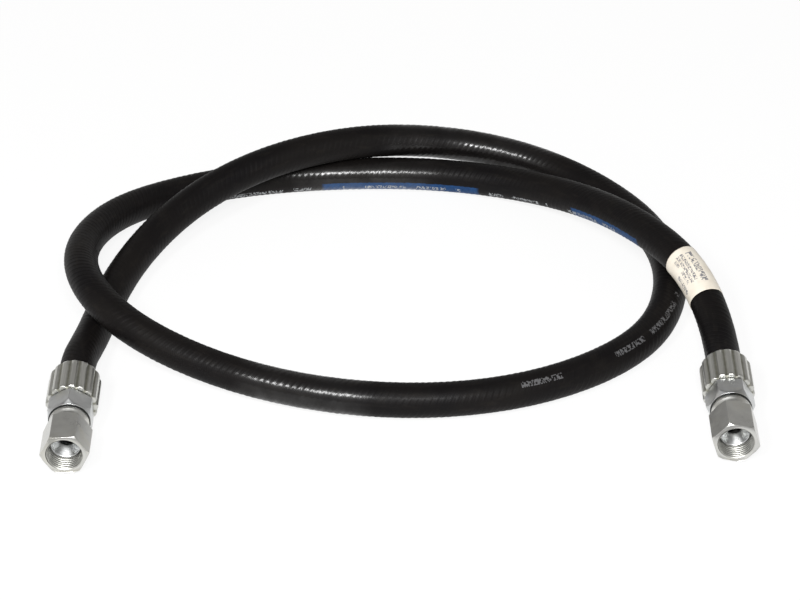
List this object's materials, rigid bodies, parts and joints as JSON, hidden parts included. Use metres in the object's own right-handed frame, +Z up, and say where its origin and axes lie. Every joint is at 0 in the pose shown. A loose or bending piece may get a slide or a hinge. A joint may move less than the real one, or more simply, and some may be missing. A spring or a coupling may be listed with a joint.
{
  "type": "hydraulic hose assembly",
  "caption": "Black rubber hydraulic hose lying in one and a half turns, with crimped steel fittings and hexagonal female swivel nuts on its ends.",
  "frame": {"origin": "on the ground, midway between the two crimped fittings", "axes": "+Z up; both fittings point along -Y, with end a at -X and end b at +X; the hose lies behind them, towards +Y"},
  "size_m": [0.3676, 0.3044, 0.0382],
  "materials": {
    "inner_rubber": "matt",
    "braid_wire": "brass-coated steel wire",
    "cover_rubber": "satin, wrapped texture",
    "label": "matt film",
    "plated_steel": "zinc plated",
    "nut_steel": "zinc plated",
    "ferrule_steel": "dull zinc plate",
    "spring_wire": "drawn wire"
  },
  "bodies": {
    "hose": {"inner_tube": "inner_rubber", "inner_wire_braid": "braid_wire", "outer_wire_braid": "braid_wire", "outer_cover": "cover_rubber", "label_sleeve": "label", "stem_a": "plated_steel", "ferrule_a": "ferrule_steel", "nut_wire_a": "spring_wire", "stem_b": "plated_steel", "ferrule_b": "ferrule_steel", "nut_wire_b": "spring_wire"},
    "nut_a": {"swivel_nut_a": "nut_steel"},
    "nut_b": {"swivel_nut_b": "nut_steel"}
  },
  "joints": [
    {"name": "nut_a_spin", "type": "hinge", "parent": "hose", "child": "nut_a", "pos_m": [-0.17, -0.02, 0.0136], "axis": [0, -1, 0], "continuous": true},
    {"name": "nut_b_spin", "type": "hinge", "parent": "hose", "child": "nut_b", "pos_m": [0.17, -0.01, 0.0136], "axis": [0, -1, 0], "continuous": true}
  ]
}
